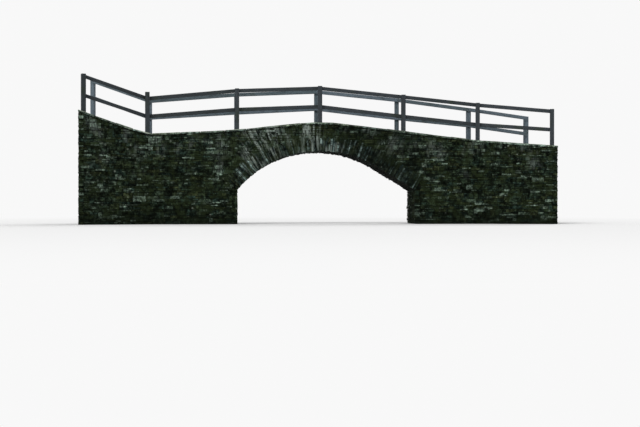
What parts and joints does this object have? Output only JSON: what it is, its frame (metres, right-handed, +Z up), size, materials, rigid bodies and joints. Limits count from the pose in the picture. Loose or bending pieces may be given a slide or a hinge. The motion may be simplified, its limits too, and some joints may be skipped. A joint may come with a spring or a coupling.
{
  "type": "stone arch footbridge",
  "caption": "Humpbacked slate footbridge: a low stone arch between abutments, splayed approach walls, edge slabs and a timber post-and-rail fence along both sides.",
  "frame": {"origin": "on the water line, under the crown of the arch, midway between the two faces", "axes": "+X along the bridge towards the lower right-hand approach, +Y across it away from the viewer, +Z up"},
  "size_m": [14.1, 3.1, 4.4674],
  "materials": {
    "slate_masonry": "rough thin slate, mossy, streaked with pale lime",
    "edge_slabs": "weathered slate slabs, riven top",
    "rubble_fill": "earth and broken stone",
    "trodden_path": "trodden earth and grit",
    "front_timber": "dark stain, weathered",
    "rear_timber": "same stain, faded to a blue-grey"
  },
  "bodies": {
    "root": {"arch_barrel": "slate_masonry", "left_abutment": "slate_masonry", "right_abutment": "slate_masonry", "front_spandrel_wall": "slate_masonry", "rear_spandrel_wall": "slate_masonry", "front_left_wing_wall": "slate_masonry", "front_right_wing_wall": "slate_masonry", "rear_left_wing_wall": "slate_masonry", "rear_right_wing_wall": "slate_masonry", "arch_fill": "rubble_fill", "left_approach_fill": "rubble_fill", "right_approach_fill": "rubble_fill", "front_left_coping": "edge_slabs", "front_crown_coping": "edge_slabs", "front_right_coping": "edge_slabs", "rear_left_coping": "edge_slabs", "rear_crown_coping": "edge_slabs", "rear_right_coping": "edge_slabs", "path_surface": "trodden_path", "front_post_1": "front_timber", "front_post_2": "front_timber", "front_post_3": "front_timber", "front_post_4": "front_timber", "front_post_5": "front_timber", "front_post_6": "front_timber", "front_post_7": "front_timber", "rear_post_1": "rear_timber", "rear_post_2": "rear_timber", "rear_post_3": "rear_timber", "rear_post_4": "rear_timber", "rear_post_5": "rear_timber", "rear_post_6": "rear_timber", "rear_post_7": "rear_timber", "front_rails_1": "front_timber", "front_rails_2": "front_timber", "front_rails_3": "front_timber", "front_rails_4": "front_timber", "front_rails_5": "front_timber", "front_rails_6": "front_timber", "rear_rails_1": "rear_timber", "rear_rails_2": "rear_timber", "rear_rails_3": "rear_timber", "rear_rails_4": "rear_timber", "rear_rails_5": "rear_timber", "rear_rails_6": "rear_timber"}
  },
  "joints": []
}
